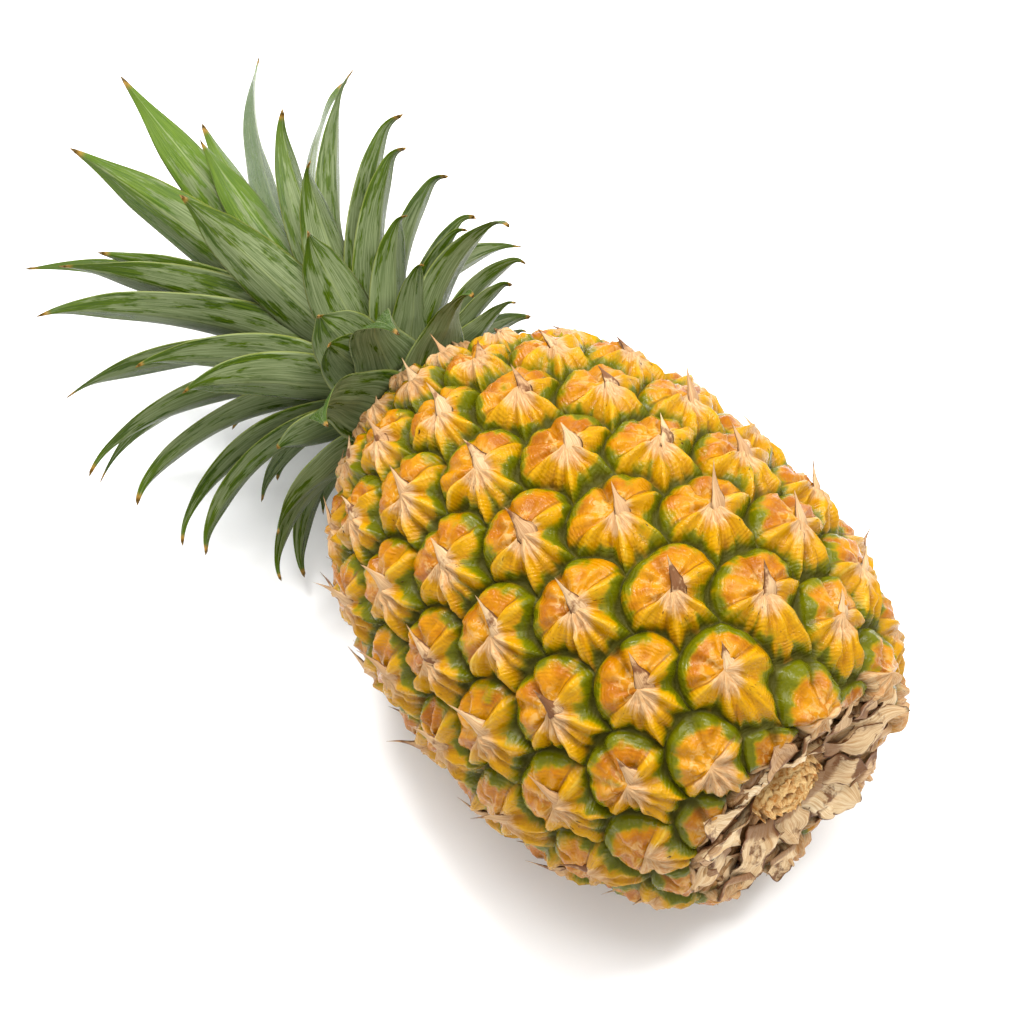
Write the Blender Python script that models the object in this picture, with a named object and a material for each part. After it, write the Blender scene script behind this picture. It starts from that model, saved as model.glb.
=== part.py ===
"""A whole pineapple with its crown, lying on its side.

The fruit's axis runs along X, with the cut stalk towards +X and the crown towards -X.
Everything is modelled in the fruit's own frame, whose origin is the middle of its axis, and
the whole is then laid down by one empty, so that world z = 0 is the surface it rests on.
An angle round the axis is 0 towards -Y and 90 degrees at the top.
"""
from math import atan2, cos, pi, radians, sin, sqrt, tanh

import bmesh
import bpy
import numpy as np
from mathutils import Matrix, Vector

MM = 0.001

# Fruit: radius at a few stations, each a fraction of the length from the stalk end.
FRUIT_LENGTH = 158 * MM
STATION_AT = (0.0, 0.05, 0.15, 0.35, 0.55, 0.75, 0.90, 1.0)
STATION_RADIUS_MM = (41.0, 47.0, 55.5, 62.5, 61.5, 56.0, 43.5, 25.5)
PROFILE_SAMPLES = 400

# Eyes: one spiral of cells, whose eighth and ninth neighbours touch, so that eight rows
# climb one way round the fruit and nine rows the other way.
LEFT_ROWS = 8
RIGHT_ROWS = 9
EYE_DIVERGENCE = radians(42.15)
EYE_FIRST_ANGLE = radians(90)
EYE_START = 0.035
EYE_PITCH = 0.0037
EYE_PITCH_SKEW = -0.25
EYE_PITCH_FLARE = 3.7
EYE_AT_CROWN = -61
EYE_AT_BASE = 54
EYE_CORNER_LIFT = -0.8 * MM
EYE_SHOULDER_LIFT = 0.4 * MM
EYE_CENTRE_LIFT = 0.6 * MM
EYE_SHOULDER_AT = 0.6

# Stalk end: rings that dip to the cut stalk, as (distance beyond the end, radius).
BASE_RINGS_MM = ((0.0, 41.0), (1.6, 36.5), (1.6, 30.0), (-1.5, 21.0), (-4.0, 14.0))
STALK_RADIUS = 11 * MM
STALK_CHAMFER = 0.8 * MM
STALK_FLOOR = -4.0 * MM
STALK_SIDES = 20

# How it lies: the crown end drops a little and the lowest eyes are pressed flat.
CROWN_DROP = radians(2.0)
REST_FLAT_DEPTH = 2.0 * MM

GAP = 0.3 * MM

# Crown: a leaf's level runs from 0, the lowest on the stem, to 1, the innermost.
CROWN_STEM_LENGTH = 41.5 * MM
LOWEST_LEAF_HEIGHT = 0.6 * MM
LEAF_ROOT_INNER = 3.8 * MM
LEAF_ROOT_OUTER = 22.5 * MM
CROWN_STEM_SKIN = 1.0 * MM
CROWN_STEM_SIDES = 18
LEAF_LEAN_INNER = radians(4.6)
LEAF_LEAN_OUTER = radians(63)
LEAF_CURL_INNER = radians(0.25) / MM
LEAF_CURL_OUTER = radians(1.85) / MM
LEAF_CURL_POWER = 1.15
LEAF_STATIONS = 8
LEAF_ROOT_WIDTH = 0.8
LEAF_CLASP = radians(37)
LEAF_TAPER_POWER = 0.8
LEAF_BELLY = 0.55
LEAF_ROOT_LENGTH = 14 * MM
LEAF_ROOT_THICKNESS = 0.24 * MM
LEAF_THICKNESS = 0.9 * MM
LEAF_WRAP_LIMIT = radians(52)
BLADE_ACROSS = (-1.0, -0.5, 0.0, 0.5, 1.0)

# Crown leaves from the lowest to the innermost: angle round the axis in degrees, length and
# greatest width in millimetres.
CROWN_LEAVES = (
    (170, 20, 14), (-95, 30, 16), (115, 30, 17), (50, 45, 20), (-60, 35, 17), (160, 25, 15),
    (-15, 35, 18), (80, 55, 19), (155, 30, 15), (-30, 50, 18), (65, 30, 26), (155, 40, 16),
    (-110, 40, 18), (-50, 55, 18), (115, 30, 17), (140, 50, 20), (-10, 22, 26), (250, 45, 20),
    (140, 40, 18), (70, 25, 30), (-25, 65, 20), (150, 45, 20), (-50, 50, 20), (-25, 70, 20),
    (125, 40, 20), (20, 50, 24), (195, 70, 20), (145, 55, 21), (-20, 75, 22), (90, 40, 24),
    (-85, 55, 22), (135, 60, 22), (-15, 85, 22), (10, 60, 24), (140, 70, 22), (-35, 95, 22),
    (110, 55, 22), (-10, 85, 22), (235, 75, 22), (65, 65, 24), (10, 90, 24), (150, 85, 22),
    (20, 85, 24), (125, 70, 22), (20, 75, 22), (200, 125, 24), (50, 95, 26), (-15, 105, 24),
    (95, 70, 22), (206, 140, 26), (110, 75, 22), (85, 100, 24),
)

# Dry bracts round the cut stalk: angle in degrees, length and width in millimetres.
BASE_BRACTS = ((20, 24, 22), (92, 22, 20), (160, 25, 22), (232, 24, 21), (305, 23, 21))
BRACT_ROOT_RADIUS = 14.5 * MM
BRACT_ROOT_HEIGHT = -2.2 * MM
BRACT_LEAN = radians(62)
BRACT_CURL = radians(1.0) / MM
BRACT_THICKNESS = 0.7 * MM
BRACT_ROOT_WIDTH = 0.62
BRACT_BELLY = 1.72
BRACT_STATIONS = 6


def clear_scene():
    """Remove whatever objects the file already holds."""
    for thing in list(bpy.data.objects):
        bpy.data.objects.remove(thing, do_unlink=True)


def make_material(name, colour, roughness):
    """A plain Principled BSDF material."""
    material = bpy.data.materials.new(name)
    material.use_nodes = True
    shader = material.node_tree.nodes["Principled BSDF"]
    shader.inputs["Base Color"].default_value = (*colour, 1.0)
    shader.inputs["Roughness"].default_value = roughness
    shader.inputs["Metallic"].default_value = 0.0
    return material


def finish_object(name, bm, material, parent):
    """Turn a bmesh into a named, smooth-shaded object with its faces pointing out."""
    bmesh.ops.recalc_face_normals(bm, faces=bm.faces)
    mesh = bpy.data.meshes.new(name)
    bm.to_mesh(mesh)
    bm.free()
    mesh.materials.append(material)
    mesh.shade_smooth()
    mesh.set_sharp_from_angle(angle=radians(40))
    thing = bpy.data.objects.new(name, mesh)
    bpy.context.scene.collection.objects.link(thing)
    thing.parent = parent
    return thing


def smoothstep(value):
    """0 below 0, 1 above 1, and smooth between."""
    value = min(max(value, 0.0), 1.0)
    return value * value * (3.0 - 2.0 * value)


def wrap_angle(angle):
    """The same angle within half a turn of zero."""
    return (angle + pi) % (2.0 * pi) - pi


def monotone_slopes(x, y):
    """Slopes at the stations that keep a cubic through them free of ripples."""
    rises = np.diff(y) / np.diff(x)
    slopes = np.zeros(len(y))
    slopes[0], slopes[-1] = rises[0], rises[-1]
    for i in range(1, len(y) - 1):
        before, after = rises[i - 1], rises[i]
        if before * after > 0.0:
            slopes[i] = 2.0 * before * after / (before + after)
    return slopes


def hermite(x, y, slopes, at):
    """The cubic through the stations, read at the given places."""
    i = np.clip(np.searchsorted(x, at, side="right") - 1, 0, len(x) - 2)
    step = x[i + 1] - x[i]
    t = (at - x[i]) / step
    return ((2 * t**3 - 3 * t**2 + 1) * y[i] + (t**3 - 2 * t**2 + t) * step * slopes[i]
            + (3 * t**2 - 2 * t**3) * y[i + 1] + (t**3 - t**2) * step * slopes[i + 1])


class FruitSurface:
    """The barrel that the eyes sit on: distance from the stalk end, radius and steps round.

    "climb" is the distance along the barrel's side counted in turns of its girth, so that a
    pattern that is even in climb and angle keeps its shape where the barrel narrows.
    """

    def __init__(self):
        at = np.array(STATION_AT) * FRUIT_LENGTH
        radius = np.array(STATION_RADIUS_MM) * MM
        self.along = np.linspace(0.0, FRUIT_LENGTH, PROFILE_SAMPLES)
        self.radius = hermite(at, radius, monotone_slopes(at, radius), self.along)
        self.slope = np.gradient(self.radius, self.along)
        rate = np.sqrt(1.0 + self.slope**2) / (2.0 * pi * self.radius)
        steps = 0.5 * (rate[1:] + rate[:-1]) * np.diff(self.along)
        self.climb = np.concatenate([[0.0], np.cumsum(steps)])
        self.middle = float(np.interp(FRUIT_LENGTH / 2, self.along, self.climb))

    def point(self, climb, angle, lift):
        """A point on the barrel, raised by lift along the surface's normal."""
        along = float(np.interp(climb, self.climb, self.along))
        radius = float(np.interp(climb, self.climb, self.radius))
        slope = float(np.interp(climb, self.climb, self.slope))
        length = sqrt(1.0 + slope * slope)
        x = FRUIT_LENGTH / 2 - along + lift * slope / length
        return axial_point(x, radius + lift / length, angle)


def axial_point(x, radius, angle):
    """A point at a place along the fruit's axis, a distance from it and an angle round it."""
    return Vector((x, -radius * cos(angle), radius * sin(angle)))


def eye_place(surface, number):
    """Climb and angle of an eye's centre; numbers rise towards the stalk end."""
    step = number * EYE_PITCH
    fall = step + EYE_PITCH_SKEW * step**2 + EYE_PITCH_FLARE * step**3
    return surface.middle + EYE_START - fall, EYE_FIRST_ANGLE + number * EYE_DIVERGENCE


def corner_place(surface, number, side):
    """Where an eye, its neighbour on one side and the eye beyond both meet."""
    climb, angle = eye_place(surface, number)
    climb /= 3.0
    for neighbour in (side, LEFT_ROWS + RIGHT_ROWS):
        climb += eye_place(surface, number + neighbour)[0] / 3.0
        angle += wrap_angle(neighbour * EYE_DIVERGENCE) / 3.0
    return climb, angle


def eye_corners(number):
    """The six corners round an eye, each named by the eye and the side that define it."""
    both = LEFT_ROWS + RIGHT_ROWS
    return ((number, LEFT_ROWS), (number, RIGHT_ROWS), (number - LEFT_ROWS, LEFT_ROWS),
            (number - both, RIGHT_ROWS), (number - both, LEFT_ROWS), (number - RIGHT_ROWS, RIGHT_ROWS))


def add_eyes(bm, surface):
    """Low domes for all eyes, which share their corners and so make one open sleeve."""
    corners = {}
    for number in range(EYE_AT_CROWN, EYE_AT_BASE + 1):
        climb, angle = eye_place(surface, number)
        centre = bm.verts.new(surface.point(climb, angle, EYE_CENTRE_LIFT))
        shoulder, rim = [], []
        for key in eye_corners(number):
            corner_climb, corner_angle = corner_place(surface, *key)
            if key not in corners:
                place = surface.point(corner_climb, corner_angle, EYE_CORNER_LIFT)
                corners[key] = bm.verts.new(place)
            rim.append(corners[key])
            part_climb = climb + EYE_SHOULDER_AT * (corner_climb - climb)
            part_angle = angle + EYE_SHOULDER_AT * wrap_angle(corner_angle - angle)
            place = surface.point(part_climb, part_angle, EYE_SHOULDER_LIFT)
            shoulder.append(bm.verts.new(place))
        for i in range(6):
            j = (i + 1) % 6
            bm.faces.new((centre, shoulder[i], shoulder[j]))
            bm.faces.new((shoulder[i], rim[i], rim[j], shoulder[j]))


def close_end(bm, loop, rings):
    """Close one end of the sleeve with rings, given as (x, radius), and a flat face."""
    angles = [atan2(v.co.z, -v.co.y) for v in loop]
    for x, radius in rings:
        ring = [bm.verts.new(axial_point(x, radius, angle)) for angle in angles]
        for i in range(len(loop)):
            j = (i + 1) % len(loop)
            bm.faces.new((loop[i], loop[j], ring[j], ring[i]))
        loop = ring
    bm.faces.new(loop)


def open_loops(bm):
    """The sleeve's two open edges, stalk end first, each in order of angle."""
    rim = {v for edge in bm.edges if edge.is_boundary for v in edge.verts}
    ends = []
    for sign in (1, -1):
        side = [v for v in rim if sign * v.co.x > 0]
        ends.append(sorted(side, key=lambda v: atan2(v.co.z, -v.co.y)))
    return ends


def resting_place(bm):
    """How the fruit lies: its crown end dropped and its lowest eyes pressed into z = 0."""
    turn = Matrix.Rotation(-CROWN_DROP, 4, "Y")
    lowest = min((turn @ v.co).z for v in bm.verts)
    return Matrix.Translation((0.0, 0.0, -lowest - REST_FLAT_DEPTH)) @ turn


def press_flat(bm, lying):
    """Cut the lowest eyes off flat along the surface that the fruit rests on."""
    to_fruit = lying.inverted()
    normal = (to_fruit.to_3x3() @ Vector((0, 0, 1))).normalized()
    everything = bm.verts[:] + bm.edges[:] + bm.faces[:]
    cut = bmesh.ops.bisect_plane(bm, geom=everything, plane_co=to_fruit.translation,
                                 plane_no=normal, clear_inner=True)
    edges = [g for g in cut["geom_cut"] if isinstance(g, bmesh.types.BMEdge)]
    bmesh.ops.holes_fill(bm, edges=edges)


def build_fruit(parent):
    """The fruit: one solid with its eyes, a dished stalk end and a small flat below.

    It also lays the parent down, which everything else follows.
    """
    bm = bmesh.new()
    add_eyes(bm, FruitSurface())
    stalk_loop, crown_loop = open_loops(bm)
    end = FRUIT_LENGTH / 2
    close_end(bm, stalk_loop, [(end + x * MM, r * MM) for x, r in BASE_RINGS_MM])
    close_end(bm, crown_loop, [(-end, STATION_RADIUS_MM[-1] * MM)])
    lying = resting_place(bm)
    press_flat(bm, lying)
    parent.location = lying.translation
    parent.rotation_euler = lying.to_euler()
    skin = make_material("fruit_skin", (0.62, 0.33, 0.04), 0.42)
    return finish_object("fruit", bm, skin, parent)


def turned_solid(name, profile, sides, material, parent):
    """A closed solid turned about the fruit's axis from (x, radius) points."""
    bm = bmesh.new()
    rings = []
    for x, radius in profile:
        turn = [2.0 * pi * i / sides for i in range(sides)]
        rings.append([bm.verts.new(axial_point(x, radius, angle)) for angle in turn])
    for lower, upper in zip(rings, rings[1:]):
        for i in range(sides):
            j = (i + 1) % sides
            bm.faces.new((lower[i], lower[j], upper[j], upper[i]))
    bm.faces.new(rings[0])
    bm.faces.new(rings[-1])
    return finish_object(name, bm, material, parent)


def build_cut_stem(parent):
    """The short stump of the fruit stalk, cut off level with the stalk end."""
    end = FRUIT_LENGTH / 2
    floor = end + STALK_FLOOR + GAP
    profile = ((floor, STALK_RADIUS), (end - STALK_CHAMFER, STALK_RADIUS),
               (end, STALK_RADIUS - STALK_CHAMFER))
    fibre = make_material("stalk_fibre", (0.60, 0.42, 0.20), 0.8)
    return turned_solid("cut_stem", profile, STALK_SIDES, fibre, parent)


def leaf_root(level):
    """Where a leaf of this level leaves the stem: height above the fruit and radius."""
    height = LOWEST_LEAF_HEIGHT + CROWN_STEM_LENGTH * level
    radius = LEAF_ROOT_INNER + (LEAF_ROOT_OUTER - LEAF_ROOT_INNER) * (1.0 - level)
    return height, radius


def build_crown_stem(parent):
    """The cone of stem inside the crown that the leaves grow from."""
    neck = -FRUIT_LENGTH / 2
    _, foot_radius = leaf_root(0.0)
    top_height, top_radius = leaf_root(1.0)
    profile = ((neck - GAP, foot_radius - CROWN_STEM_SKIN),
               (neck - top_height, top_radius - CROWN_STEM_SKIN))
    pith = make_material("crown_pith", (0.45, 0.50, 0.22), 0.7)
    return turned_solid("crown_stem", profile, CROWN_STEM_SIDES, pith, parent)


def arc_line(x, radius, lean, curl, length, stations, outward):
    """A centre line that leans from the axis and keeps curling away from it.

    It returns one (x, radius, lean, fraction of the length) for each station; outward is
    the direction along X that the line sets off in.
    """
    line = []
    for i in range(stations + 1):
        part = i / stations
        turned = lean + curl * part * length
        line.append((x + outward * (sin(turned) - sin(lean)) / curl,
                     radius - (cos(turned) - cos(lean)) / curl, turned, part))
    return line


def blade_solid(name, line, angle, half_width, half_thickness, outward, material, parent):
    """A thin closed blade that wraps round the axis as far as its width needs.

    The two sides share their edges, meet at the tip in one point and are cut into the same
    triangles, so that they never cross where the blade is thinnest.
    """
    bm = bmesh.new()
    rings = []
    for x, radius, lean, part in line[:-1]:
        wrap = LEAF_WRAP_LIMIT * tanh(half_width(part) / radius / LEAF_WRAP_LIMIT)
        ring = []
        sides = [(across, 1.0) for across in BLADE_ACROSS]
        sides += [(across, -1.0) for across in reversed(BLADE_ACROSS[1:-1])]
        for across, face in sides:
            lift = face * half_thickness(part) * (1.0 - across * across)
            place = axial_point(x - outward * lift * sin(lean), radius + lift * cos(lean),
                                angle + across * wrap)
            ring.append(bm.verts.new(place))
        rings.append(ring)
    count = len(rings[0])
    for lower, upper in zip(rings, rings[1:]):
        for i in range(count):
            j = (i + 1) % count
            if i < len(BLADE_ACROSS) - 1:
                bm.faces.new((lower[i], lower[j], upper[j]))
                bm.faces.new((lower[i], upper[j], upper[i]))
            else:
                bm.faces.new((lower[i], lower[j], upper[i]))
                bm.faces.new((lower[j], upper[j], upper[i]))
    tip_x, tip_radius, _, _ = line[-1]
    tip = bm.verts.new(axial_point(tip_x, tip_radius, angle))
    for i in range(count):
        bm.faces.new((rings[-1][i], rings[-1][(i + 1) % count], tip))
    bm.faces.new(rings[0])
    return finish_object(name, bm, material, parent)


def build_leaf(number, level, angle, length, width, parent):
    """One crown leaf; lower leaves lean out and curl back more than inner ones."""
    height, radius = leaf_root(level)
    lean = LEAF_LEAN_INNER + LEAF_LEAN_OUTER * (1.0 - level)
    curl = LEAF_CURL_INNER + LEAF_CURL_OUTER * (1.0 - level) ** LEAF_CURL_POWER
    line = arc_line(-FRUIT_LENGTH / 2 - height, radius, lean, curl, length, LEAF_STATIONS, -1.0)

    def half_width(part):
        free = smoothstep(part * length / LEAF_ROOT_LENGTH)
        root = max(LEAF_CLASP * radius, 0.5 * LEAF_ROOT_WIDTH * width)
        taper = (1.0 - part) ** LEAF_TAPER_POWER * (1.0 + LEAF_BELLY * part)
        return taper * (root + (0.5 * width - root) * free)

    def half_thickness(part):
        free = smoothstep(part * length / LEAF_ROOT_LENGTH)
        thickness = LEAF_ROOT_THICKNESS + (LEAF_THICKNESS - LEAF_ROOT_THICKNESS) * free
        return 0.5 * thickness * sqrt(1.0 - part)

    green = make_material(f"leaf_green_{number:02d}", (0.16, 0.24, 0.09), 0.5)
    return blade_solid(f"crown_leaf_{number:02d}", line, angle, half_width, half_thickness,
                       -1.0, green, parent)


def build_crown_leaves(parent):
    """All crown leaves, evenly spaced in level from the lowest to the innermost."""
    last = len(CROWN_LEAVES) - 1
    for i, (angle, length, width) in enumerate(CROWN_LEAVES):
        build_leaf(i + 1, i / last, radians(angle), length * MM, width * MM, parent)


def build_base_bracts(parent):
    """The dry torn bracts that stand round the cut stalk."""
    for i, (angle, length, width) in enumerate(BASE_BRACTS):
        x = FRUIT_LENGTH / 2 + BRACT_ROOT_HEIGHT
        line = arc_line(x, BRACT_ROOT_RADIUS, BRACT_LEAN, BRACT_CURL, length * MM,
                        BRACT_STATIONS, 1.0)

        def half_width(part, width=width):
            return 0.5 * width * MM * (1.0 - part) * (BRACT_ROOT_WIDTH + BRACT_BELLY * part)

        def half_thickness(part):
            return 0.5 * BRACT_THICKNESS * sqrt(1.0 - part)

        paper = make_material(f"dry_bract_{i + 1:02d}", (0.72, 0.58, 0.40), 0.85)
        blade_solid(f"base_bract_{i + 1:02d}", line, radians(angle), half_width,
                    half_thickness, 1.0, paper, parent)


def main():
    clear_scene()
    holder = bpy.data.objects.new("lying", None)
    bpy.context.scene.collection.objects.link(holder)
    build_fruit(holder)
    build_cut_stem(holder)
    build_base_bracts(holder)
    build_crown_stem(holder)
    build_crown_leaves(holder)


main()
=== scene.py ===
"""The looks of a whole pineapple with its crown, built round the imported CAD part.

The fruit's axis runs along X, with the cut stalk towards +X and the crown towards -X. Pieces
are modelled in the fruit's own frame, whose origin is the middle of its axis, and are then
laid down as the CAD part lies. An angle round the axis is 0 towards -Y and 90 degrees at the
top. Lengths are in metres, and the names that end in _MM are in millimetres.
"""

from math import atan2, cos, pi, radians, sin, sqrt

import bpy
import numpy as np
from mathutils import Matrix, Vector


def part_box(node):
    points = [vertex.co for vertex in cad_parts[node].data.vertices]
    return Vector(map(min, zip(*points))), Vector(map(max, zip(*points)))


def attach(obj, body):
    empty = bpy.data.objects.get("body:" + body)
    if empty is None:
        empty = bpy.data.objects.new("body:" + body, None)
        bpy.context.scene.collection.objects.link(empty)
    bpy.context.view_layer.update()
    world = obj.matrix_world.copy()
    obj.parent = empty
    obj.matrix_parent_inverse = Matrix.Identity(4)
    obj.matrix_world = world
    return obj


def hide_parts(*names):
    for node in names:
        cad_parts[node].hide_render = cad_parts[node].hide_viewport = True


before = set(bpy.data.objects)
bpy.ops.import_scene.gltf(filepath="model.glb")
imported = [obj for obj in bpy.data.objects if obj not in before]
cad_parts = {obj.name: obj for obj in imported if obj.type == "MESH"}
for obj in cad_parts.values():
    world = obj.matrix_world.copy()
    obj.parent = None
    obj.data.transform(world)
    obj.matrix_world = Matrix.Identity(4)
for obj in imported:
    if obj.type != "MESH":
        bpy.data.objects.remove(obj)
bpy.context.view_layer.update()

MM = 0.001

# Fruit: the same barrel as the CAD part.
FRUIT_LENGTH = 158 * MM
STATION_AT = (0, 0.05, 0.15, 0.35, 0.55, 0.75, 0.90, 1)
STATION_RADIUS_MM = (41, 47, 55.5, 62.5, 61.5, 56, 43.5, 25.5)
PROFILE_SAMPLES = 400
WIDEST_RADIUS = 62.5 * MM
CROWN_DROP = radians(2)
STUMP_MIDDLE = 76.75 * MM

# Eyes: the same spiral as the CAD part, with each eye's bract growing from the spiral's point.
LEFT_ROWS = 8
RIGHT_ROWS = 9
BOTH_ROWS = LEFT_ROWS + RIGHT_ROWS
EYE_DIVERGENCE = radians(42.15)
EYE_FIRST_ANGLE = radians(90)
EYE_START = 0.035
EYE_PITCH = 0.0037
EYE_PITCH_SKEW = -0.25
EYE_PITCH_FLARE = 3.7
EYE_FLARE_END = 0.24
EYE_AT_CROWN = -61
EYE_AT_BASE = 78
# Eyes after these are ever drier, or ever flatter and lower.
LAST_FRESH_EYE = 72
LAST_ROUND_EYE = 64
FLAT_EYE_SHARE = 0.5
FLAT_EYE_DROP_MM = -1.6
# Eyes that grew nearer the stalk than the spiral has them, by this climb; a negative one
# grew further away. The flattened eyes are all drawn in towards the stalk.
EYE_FALLS = {51: -0.008, 60: 0.034, 61: 0.014}
FLAT_EYE_FALL = 0.013
CORNER_FALL_SHARE = 0.53
CELL_SHIFT = 0.0055
# How far each crownward edge of an eye bulges, as a climb: above, middle and below.
CELL_BULGES = (0.0058, 0.0030, 0.0058)
EDGE_POINTS = 12
EYE_RINGS = (0.09, 0.19, 0.31, 0.44, 0.57, 0.70, 0.81, 0.90, 0.96, 1)
# The rim of the stalk end, which the last eyes turn over.
RIM_RADIUS = 6 * MM
RIM_TURN = radians(95)
RIM_SAMPLES = 60
DISH_LENGTH = 20 * MM
DISH_SAMPLES = 80

# Eye relief, in millimetres above the barrel. Eyes where the fruit is thin are lower, down to
# this share of the height.
VALLEY_MM = -3.2
HUB_MM = 2
CUSHION_MM = 2.3
ARM_MM = 2.7
CREASE_MM = 1.2
LUMP_MM = 0.42
THIN_RELIEF = 0.55
# A cushion's dome falls off late. Its dimple lies towards the crown, and the hub sits in a pit.
DOME_POWER = 3.6
DIMPLE_AT_MM = -5
DIMPLE_RADIUS_MM = 2.6
DIMPLE_MM = 0.9
PIT_MM = 1.1
PIT_SHARE = 0.22
# How far the fan reaches between its arms, as a share of their reach.
ARM_SPREAD = 0.87
ARM_REACH = 1.02
FAN_POWER = 3.2
# The fan's edge is a raised lip beside the cushion, with a groove between the two.
LIP_MM = 0.7
LIP_ASIDE = radians(9)
LIP_WIDTH = radians(8)
GROOVE_MM = 1.44
GROOVE_ASIDE = radians(6)
# The knob in which the bract's tip roots.
KNOB_MM = 0.4
KNOB_SHARE = 0.12
# The fleshy arms of a bract, the main ones towards the corners between three eyes: direction
# round the eye, 0 towards the stalk, half width, and height as a share of the tallest.
ARMS = ((-82, 14, 1), (-57, 7, 0.7), (-33, 9, 1), (-7, 7, 0.75), (20, 11, 1), (75, 17, 1))
# Creases between the lobes of a cushion: direction, half width and depth.
LOBE_CREASES_DEG = ((160, 9, 2.4), (-146, 10, 1.1), (122, 8, 0.9))
# The papery band of a bract: its direction, and how much shorter it is to either side.
PAPER_WAY = radians(-22)
PAPER_NARROWING = 1.7
# Direction of the greener hollow between the two arms that reach furthest round the fruit.
WING_WAY = radians(42)
# Where the fan meets the cushion on either side: at the hub and at the outline.
FAN_ABOVE = (radians(97), radians(92))
FAN_BELOW = (radians(-86), radians(-98))
FAN_EDGE = radians(9)

# Stalk end: rings that dip to the cut stalk, as (distance beyond the end, radius).
BASE_RINGS_MM = ((-3, 17), (-4.4, 12))
NECK_RINGS_MM = ((-0.2, 25), (0.4, 20))
BASE_LUMP = 0.9 * MM

# Dry tips of the bracts: lengths in millimetres.
TIP_STATIONS = 12
TIP_ACROSS = 6
TIP_LENGTH_MM = 7.5
TIP_WIDTH_MM = 12
TIP_START_MM = 5
TIP_LIFT_MM = 7
TIP_THICKNESS_MM = 0.32
TIP_YAW = radians(20)
# Tips grow smaller over this share of the fruit towards the stalk end, and the last have none.
TIP_BASE_SHARE = 0.2
TIP_BASE_LIMIT = 0.85

# Torn dry bracts round the cut stalk. The first five stand for the CAD part's own: angle in
# degrees, length and width in millimetres.
BASE_BRACTS = ((20, 24, 22), (92, 22, 20), (160, 25, 22), (232, 24, 21), (305, 23, 21))
FLAP_STATIONS = 20
FLAP_ACROSS = 12
FLAP_THICKNESS_MM = 0.35
FLAP_ROOT_WIDTH = 0.62
FLAP_BELLY = 1.72
FLAP_TEAR = 0.15
# Further rings of torn bracts: count, first angle, distance beyond the end, radius, lean in
# degrees, curl in degrees per millimetre, length, width, and how crumpled.
FLAP_RINGS = (
    (7, 5, -1.6, 16, 60, 1.5, 15, 15, 1.2),
    (10, 22, 0.2, 22, 78, 1.5, 16, 14, 1.1),
    (12, 10, 2.4, 29, 84, 3.5, 11.5, 15, 0.9),
)
# How pale the bracts of each ring are, from brown at 0 to cream at 1: least and most.
# Towards 1 the pigments are also painted lighter, to make up for the shade round the stalk.
BASE_BRACT_PALENESS_AND_SHADE_FILL = (0.6, 1)
FLAP_PALENESS_AND_SHADE_FILL = ((0.6, 1), (0.3, 1), (0, 0.9))

# Cut stalk: its ridges run round it, and its wall drops behind the cut in steps.
STALK_RADIUS_MM = 11
STALK_RINGS = 26
STALK_SIDES = 90
STALK_RIDGE_MM = 1.4
STALK_RIDGE_TURN = 19
STALK_HOLLOW_MM = 1.6
STALK_MIDDLE_MM = -1.8
STALK_WALL_MM = (-1.5, -3, -4.5)

# Crown: a leaf's level runs from 0, the lowest on the stem, to 1, the innermost.
CROWN_STEM_LENGTH = 41.5 * MM
LOWEST_LEAF_HEIGHT = 0.6 * MM
LEAF_ROOT_INNER = 3.8 * MM
LEAF_ROOT_OUTER = 22.5 * MM
# How far the innermost leaf leans out and curls back, and how much more the lowest one does.
LEAF_LEAN = radians(4.6)
LEAF_LEAN_MORE = radians(63)
LEAF_CURL = radians(0.25) / MM
LEAF_CURL_MORE = radians(1.85) / MM
LEAF_CURL_POWER = 1.15
LEAF_LINE_STEPS = 200
LEAF_ROOT_WIDTH = 0.8
LEAF_CLASP = radians(44)
LEAF_TAPER_POWER = 0.8
LEAF_BELLY = 0.55
LEAF_ROOT_LENGTH = 14 * MM
LEAF_ROOT_THICKNESS = 0.24 * MM
LEAF_THICKNESS = 0.9 * MM
LEAF_WRAP_LIMIT = radians(52)
LEAF_STATIONS = 44
LEAF_ACROSS = 16
LEAF_KEEL = 2.3 * MM
LEAF_KEEL_WIDTH = 8 * MM
# A leaf ends in a narrow, thick spine. Its edges ripple and its halves wave, by these heights
# over these lengths.
LEAF_SPINE = 0.45
LEAF_SPINE_SWELL = 0.9
LEAF_RIPPLE = 0.5 * MM
LEAF_RIPPLE_LENGTH = 9 * MM
LEAF_WAVE = 0.4 * MM
LEAF_WAVE_LENGTH = 13 * MM
# The last stretch of a leaf hooks back: on the far side of the crown and on the near one.
HOOK_START = 0.84
HOOK_RUN = 0.16
HOOK_FAR = radians(62)
HOOK_NEAR = radians(20)
HOOK_FAR_ANGLES = (95, 175)
HOOK_FADE = 2.4

STEM_GAP = 0.3 * MM
STEM_SKIN = 1 * MM
STEM_RINGS = 90
STEM_SIDES = 72
STEM_SCARS = 18
STEM_SCAR = 0.25 * MM
STEM_LUMP = 0.2 * MM

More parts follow.
